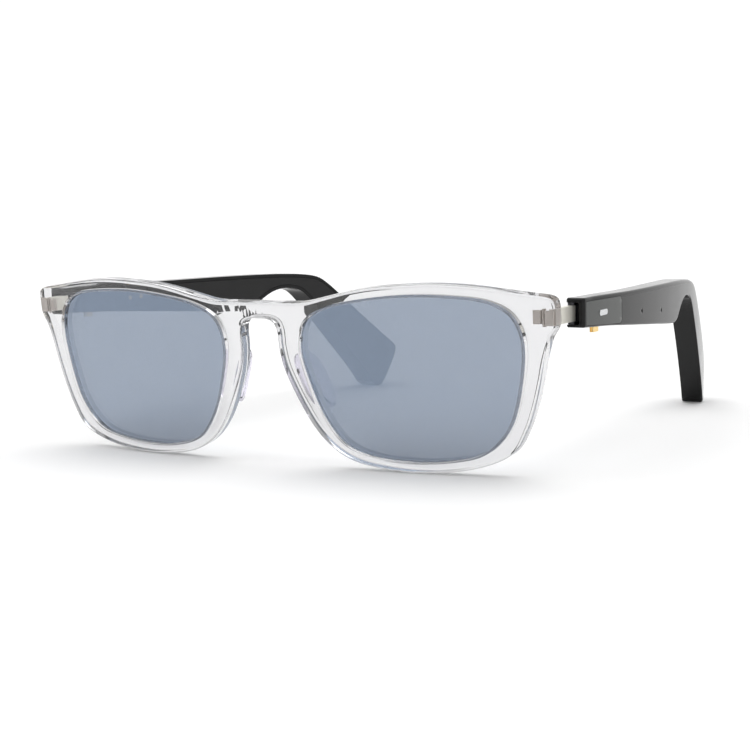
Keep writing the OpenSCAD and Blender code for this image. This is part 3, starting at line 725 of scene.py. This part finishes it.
def hinge_tongue(name, side):
    """The cream tongue with its bore, and the metal blocks that hold it in the clear corner."""
    anchor_y, half_h, half_t = corner_y - ANCHOR_IN, TONGUE_H / 2, TONGUE_T / 2
    low, high = pivot_z - half_h, pivot_z + half_h
    tongue = block("hinge_tongue_" + name, (pivot_x - half_t, anchor_y + 0.4, low),
                   (pivot_x + half_t, pivot_y + 0.1, high), side, 0.1)
    parts = [rod("knuckle", (pivot_x, pivot_y, low), (pivot_x, pivot_y, high), half_t, side)]
    for start, end, under, over, front in ANCHOR_BLOCKS:
        parts.append(block("anchor", (corner_x + start, anchor_y + front, pivot_z + under),
                           (corner_x + end, anchor_y + ANCHOR_T, pivot_z + over), side, 0.12))
    combine(tongue, parts, "UNION")
    bore = rod("bore", (pivot_x, pivot_y, low - 1), (pivot_x, pivot_y, high + 1), PIN_R, side)
    combine(tongue, [bore])
    add(tongue, NICKEL, "front", "hinge_metal", "hinge_plate_" + name)


# ---- Temples ----

def temple_body(name, side):
    """The hollow temple, open on its inner side, with its microphone holes, key slot and outlet."""
    start = cap_back - CUT_SPARE
    outline = resampled(rounded_front(clipped(temple_edge, start, 1), 0.15), 2.0)
    share = [SQUARE if y < start + 0.4 else edge_share(y, z) for y, z in outline]
    mics = [(temple_y + d, temple_top + drop) for d, drop in MIC_PLACES]
    hole = pocket_steps(0.08, 0.02, MIC_DEPTH)
    piece = slab("temple_body_" + name, on_temple, outline, edge_profile(TOP_ROUND, FAR_ROUND),
                 pockets=[(backwards(circle(spot, MIC_R)), hole) for spot in mics],
                 side=side, spacing=3.0, sharp=share)
    cavity = inset(temple_edge, WALL)
    room = slab("room", lambda y, z, far, depth: Vector((
        inner_x(y, -1 + depth) if far else outer_x(y, OUTER_WALL + depth), y - mid_y, z)),
        [tuple(p) for p in cavity], [(0, False, 0), (0, True, 0)], side=side, spacing=4.0)
    half_w = KEY_W / 2 + SLOT_GAP
    slot = block("slot", (key_x - half_w, key_y - SLOT_GAP, temple_top - SLOT_LOW_DROP),
                 (key_x + half_w, key_y + KEY_L + SLOT_GAP, temple_top - SLOT_HIGH_DROP), side)
    outlet_y = temple_y + OUTLET_BACK
    middle = (outer_x(outlet_y) + inner_x(outlet_y)) / 2
    low, high = (temple_top - drop for drop in OUTLET_DROPS)
    outlet = block("outlet", (middle - OUTLET_HALF_W, outlet_y - OUTLET_HALF_L, low),
                   (middle + OUTLET_HALF_W, outlet_y + OUTLET_HALF_L, high), side, 0.5)
    front = block("front_cut", (0, start - 1, 0), (FRONT_W, cap_back, 2 * temple_top), side)
    combine(piece, [front])
    combine(piece, [room, slot, outlet, panel_room(side)])
    add(piece, GLOSS, "temple_" + name, "black_gloss", "temple_shell_" + name)


def pocket_steps(rim, lip, depth):
    """Steps down into a blind hole: a flat band, a small rounded rim and a straight wall."""
    return [(0.5, False, 0), (rim, False, 0), (lip, False, 0.03), (0, False, 0.1),
            (0, False, depth)]


def edge_share(y, z):
    """How much of the full rounding an edge has: all of it above and behind, less below."""
    nearest = min(range(len(temple_edge)), key=lambda i: math.dist(temple_edge[i], (y, z)))
    lowest = min(range(len(temple_edge)), key=lambda i: temple_edge[i][1])
    low = LOW_ROUND / TOP_ROUND
    return low + (1 - low) * min(max((nearest - lowest + 6) / 18, 0), 1)


def panel_room(side):
    """The recess that the touch panel lies in."""
    above, under = 1, 0.03
    return slab("panel_room", on_sheet(-above, PANEL_T + above + under), panel_outline(FIT),
                [(0, False, 0), (0, True, 0)], side=side, spacing=1.6)


def rounded_front(loop, radius):
    """Rounds the two corners where a clipped outline was cut off square."""
    cut_at = min(p[0] for p in loop)
    ends = [i for i, p in enumerate(loop) if abs(p[0] - cut_at) < 1e-6]
    out = []
    for i, p in enumerate(loop):
        if i in ends:
            q, before, after = (Vector(loop[j % len(loop)]) for j in (i, i - 1, i + 1))
            reach_a = q + (before - q).normalized() * radius
            reach_b = q + (after - q).normalized() * radius
            for k in range(5):
                t = k / 4
                out.append(tuple(reach_a * (1 - t) ** 2 + q * 2 * t * (1 - t) + reach_b * t ** 2))
        else:
            out.append(p)
    return out


def panel_outline(grow):
    """Touch panel: nearly square in front, rounded behind."""
    front, back = panel_y - grow, panel_y + PANEL_L + grow
    corners = [(front, temple_top - PANEL_LOW[0] - grow),
               (back, temple_top - PANEL_LOW[1] - grow),
               (back, temple_top - PANEL_HIGH[1] + grow),
               (front, temple_top - PANEL_HIGH[0] + grow)]
    small, large = (radius + grow for radius in PANEL_CORNERS)
    return resampled(rounded(corners, [small, large, large, small], 8), 1.5)


def touch_panel(name, side):
    piece = slab("touch_plate_" + name, on_sheet(0, PANEL_T), panel_outline(0),
                 edge_profile(0.14, 0.05), side=side, spacing=1.6)
    add(piece, PANEL, "temple_" + name, "panel_gloss", "touch_panel_" + name)


def touch_bar(name, side):
    """The plain raised bar on the touch panel."""
    spot = (temple_y + BAR_BACK, temple_top - BAR_DROP)
    pill = rounded(rectangle(spot, BAR_HALF_L, BAR_HALF_H), BAR_CORNER, 10)
    piece = slab("touch_bar_" + name, on_sheet(-BAR_PROUD, BAR_T), pill, edge_profile(0.08, 0.02),
                 side=side, spacing=1.0)
    add(piece, SILVER, "temple_" + name, "mark_silver", "touch_mark_" + name)


def inner_cover(name, side):
    """The satin cover towards the head, with the charging recess and its two contact holes."""
    outline = [tuple(p) for p in inset(temple_edge, WALL + FIT)]
    outline = resampled(rounded_front(clipped(outline, inner_open, 1), 0.3), 2.0)
    pad = rounded(rectangle((charge_y, charge_z), CHARGE_HALF_L, CHARGE_HALF_H), 0.6)
    piece = slab("inner_cover_" + name, on_cover, outline, edge_profile(0.14, 0.05),
                 pockets=[(backwards(pad), pocket_steps(0.1, 0.03, CHARGE_DEPTH))], side=side,
                 spacing=3.0)
    holes = []
    for end in (-1, 1):
        y = charge_y + end * CONTACT_REACH
        angle = math.asin((y - inner_cy) / INNER_R)
        way = Vector((math.cos(angle), math.sin(angle), 0))
        start = Vector((inner_x(y), y, charge_z))
        holes.append(rod("hole", start - way, start + way * 3, CONTACT_R, side))
    combine(piece, holes)
    add(piece, SATIN, "temple_" + name, "black_satin", "temple_cover_" + name)


def end_cap(name, side):
    """The end cap, open at its front and inner side round the tongue."""
    end = cap_back + CUT_SPARE
    outline = clipped(temple_edge, end, -1)
    corners = [(temple_y, temple_top - CAP_H), (end, outline_height(outline, -1)),
               (end, outline_height(outline, 1)), (temple_y, temple_top)]
    outline = resampled(rounded(corners, [CAP_CORNER, 0.15, 0.15, CAP_CORNER], 8), 0.8)
    share = [SQUARE if y > end - 0.4 else cap_share(y, z) for y, z in outline]
    piece = slab("hinge_cap_" + name, on_temple, outline, edge_profile(TOP_ROUND, FAR_ROUND),
                 side=side, spacing=1.2, sharp=share)
    back = block("back_cut", (0, cap_back - 0.02, 0), (FRONT_W, end + 1, 2 * temple_top), side)
    combine(piece, [back])
    half, rod_x = RECESS_H / 2, pivot_x + ROD_OUT
    # The recess reaches well past the cap's front and inner side, so it is open there
    recess = block("recess", (pivot_x - 20, temple_y - 3, pivot_z - half),
                   (face_x - CAP_WALL, cap_back - CAP_WALL, pivot_z + half), side, 0.3)
    bore = rod("bore", (rod_x, cap_back - 3, pivot_z), (rod_x, cap_back + 2, pivot_z),
               ROD_HOLE_R, side)
    combine(piece, [recess, bore, panel_room(side)])
    add(piece, GLOSS, "temple_" + name, "black_gloss", "end_cap_" + name)


def cap_share(y, z):
    """Edge rounding of the end cap: less at its front, the same as the temple's at its back."""
    back = min(max((y - temple_y - 1) / (CAP_L - 2), 0), 1)
    lower = z < temple_top - 3
    front, full = (0.5, LOW_ROUND / TOP_ROUND) if lower else (0.6, 1)
    return front + (full - front) * back


def outline_height(loop, end):
    """Lower (-1) or upper (1) height of a clipped outline at its cut edge."""
    edge = max(p[0] for p in loop)
    heights = [p[1] for p in loop if abs(p[0] - edge) < 1e-6]
    return max(heights) if end > 0 else min(heights)


def gold_key(name, side):
    """The notched gold key, with the lip that holds it in its slot."""
    low, high, half_w = temple_top - KEY_EDGE_DROP - KEY_SHOWS, temple_top - LIP_DROP, KEY_W / 2
    key = block("gold_key_" + name, (key_x - half_w, key_y, low),
                (key_x + half_w, key_y + KEY_L, high + 0.1), side, 0.12, 4)
    notch = block("notch", (key_x - KEY_NOTCH[0] / 2, key_y - 1, low - 1),
                  (key_x + KEY_NOTCH[0] / 2, key_y + KEY_NOTCH[1], low + KEY_SHOWS), side)
    combine(key, [notch])
    lip = block("lip", (key_x - half_w, key_y - LIP_REACH, high),
                (key_x + half_w - LIP_TRIM, key_y + KEY_L + LIP_REACH, high + LIP_T), side, 0.05)
    combine(key, [lip], "UNION")
    add(key, GOLD, "button_" + name, "gold", "control_button_" + name)


# ---- Studio ----

def studio():
    """A pale floor, a bright horizon that fades upwards, and soft light from above and the left."""
    white_floor()
    bright_sky()
    data = bpy.data.lights.new("overhead", "SUN")
    data.energy = 2.2
    data.angle = math.radians(75)
    lamp = bpy.data.objects.new("overhead", data)
    lamp.rotation_euler = Vector((0.1, -0.2, -1)).to_track_quat("-Z", "Y").to_euler()
    bpy.context.scene.collection.objects.link(lamp)
    softbox("left_light", (-1.1, -0.5, 0.8), (0, 0, 0), 0.5, 1.5)


def white_floor():
    bm = bmesh.new()
    bmesh.ops.create_circle(bm, cap_ends=True, segments=96, radius=6)
    mesh = bpy.data.meshes.new("floor")
    bm.to_mesh(mesh)
    bm.free()
    floor = bpy.data.objects.new("floor", mesh)
    bpy.context.scene.collection.objects.link(floor)
    look, tree, shader = material("floor_paper", (0.93, 0.93, 0.93), 0.9)
    shader.inputs["Specular IOR Level"].default_value = 0.1
    dress(floor, look)


def bright_sky():
    world = bpy.data.worlds.new("studio")
    bpy.context.scene.world = world
    world.use_nodes = True
    tree = world.node_tree
    sky = tree.nodes["Background"]
    coords = tree.nodes.new("ShaderNodeTexCoord")
    split = tree.nodes.new("ShaderNodeSeparateXYZ")
    ramp = tree.nodes.new("ShaderNodeValToRGB")
    stops = ((0.0, 1.0), (0.12, 1.0), (0.35, 0.62), (0.7, 0.4), (1.0, 0.34))
    while len(ramp.color_ramp.elements) < len(stops):
        ramp.color_ramp.elements.new(0.5)
    for element, (height, shade) in zip(ramp.color_ramp.elements, stops):
        element.position = height
        element.color = (shade, shade, shade, 1)
    tree.links.new(coords.outputs["Generated"], split.inputs["Vector"])
    tree.links.new(split.outputs["Z"], ramp.inputs["Fac"])
    tree.links.new(ramp.outputs["Color"], sky.inputs["Color"])
    sky.inputs["Strength"].default_value = 1.05


def softbox(name, spot, target, size, power):
    data = bpy.data.lights.new(name, "AREA")
    data.shape = "SQUARE"
    data.size = size
    data.energy = power
    lamp = bpy.data.objects.new(name, data)
    lamp.location = spot
    lamp.rotation_euler = (Vector(target) - Vector(spot)).to_track_quat("-Z", "Y").to_euler()
    bpy.context.scene.collection.objects.link(lamp)


def camera():
    """Low three-quarter view from the wearer's front left."""
    azimuth, elevation, roll = math.radians(31.65), math.radians(7.09), math.radians(-1.63)
    target, distance = Vector((0.0166, -0.0459, 0.019)), 0.42
    data = bpy.data.cameras.new("camera")
    data.lens = 86.4
    data.sensor_width = 36
    data.clip_start = 0.01
    eye = bpy.data.objects.new("camera", data)
    back = Vector((math.sin(azimuth) * math.cos(elevation),
                   -math.cos(azimuth) * math.cos(elevation), math.sin(elevation)))
    turn = back.to_track_quat("Z", "Y").to_matrix().to_4x4()
    place = Matrix.Translation(target + back * distance)
    eye.matrix_world = place @ turn @ Matrix.Rotation(roll, 4, "Z")
    bpy.context.scene.collection.objects.link(eye)
    bpy.context.scene.camera = eye


camera()
studio()
bpy.context.scene.view_settings.view_transform = "Standard"
clear_front()
for side_name, way in SIDES.items():
    lens(side_name, way)
    nose_pad(side_name, way)
    hinge_tongue(side_name, way)
    temple_body(side_name, way)
    touch_panel(side_name, way)
    touch_bar(side_name, way)
    inner_cover(side_name, way)
    end_cap(side_name, way)
    gold_key(side_name, way)
    for node, look in NODE_LOOKS.items():
        dress(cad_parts[node + "_" + side_name], look)
